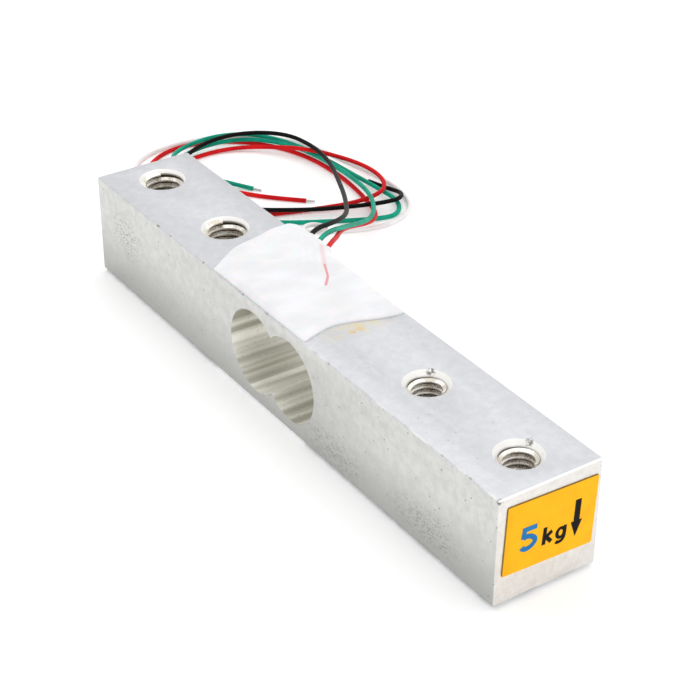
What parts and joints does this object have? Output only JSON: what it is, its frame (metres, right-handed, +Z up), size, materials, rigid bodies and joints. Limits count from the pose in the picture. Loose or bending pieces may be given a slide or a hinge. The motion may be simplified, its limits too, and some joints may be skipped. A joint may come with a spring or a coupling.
{
  "type": "beam load cell",
  "caption": "Small aluminium beam load cell with a binocular sensing cavity, threaded mounting holes, white silicone over the strain gauges, a yellow rating label and four loose coloured leads.",
  "frame": {"origin": "on the surface that the cell stands on, under the middle of the bar", "axes": "+X along the bar towards the labelled load end, +Y towards the side where the leads come out, +Z up"},
  "size_m": [0.1066, 0.0439, 0.0139],
  "materials": {
    "milled_aluminium": "milled, with a fine matt tumble, lightly scratched and pitted on the sides",
    "label_film": "printed vinyl film",
    "print_blue": "blue ink",
    "print_black": "black ink",
    "polyimide_film": "amber polyimide",
    "constantan_foil": "etched foil",
    "glass_laminate": "green glass-epoxy laminate",
    "pad_copper": "copper",
    "solder": "bright solder",
    "enamelled_wire": "enamelled copper wire",
    "white_silicone": "soft white silicone, satin",
    "insulation_red": "soft insulation, satin",
    "insulation_green": "soft insulation, satin",
    "insulation_black": "soft insulation, satin",
    "insulation_white": "soft insulation, satin",
    "tinned_core": "tinned copper strands"
  },
  "bodies": {
    "root": {"beam": "milled_aluminium", "rating_label": "label_film", "label_numeral": "print_blue", "label_unit": "print_black", "load_arrow": "print_black", "gauge_film_top_load": "polyimide_film", "gauge_film_top_fixed": "polyimide_film", "gauge_film_bottom_load": "polyimide_film", "gauge_film_bottom_fixed": "polyimide_film", "gauge_grid_top_load": "constantan_foil", "gauge_grid_top_fixed": "constantan_foil", "gauge_grid_bottom_load": "constantan_foil", "gauge_grid_bottom_fixed": "constantan_foil", "terminal_strip_top": "glass_laminate", "terminal_strip_bottom": "glass_laminate", "terminal_pads_top": "pad_copper", "terminal_pads_bottom": "pad_copper", "solder_joints_top": "solder", "solder_joints_bottom": "solder", "gauge_jumpers_top": "enamelled_wire", "gauge_jumpers_bottom": "enamelled_wire", "bridge_wires": "enamelled_wire", "sealant_top": "white_silicone", "sealant_side": "white_silicone", "sealant_bottom": "white_silicone", "lead_red": "insulation_red", "lead_green": "insulation_green", "lead_black": "insulation_black", "lead_white": "insulation_white", "tip_red": "tinned_core", "tip_green": "tinned_core", "tip_black": "tinned_core", "tip_white": "tinned_core"}
  },
  "joints": []
}
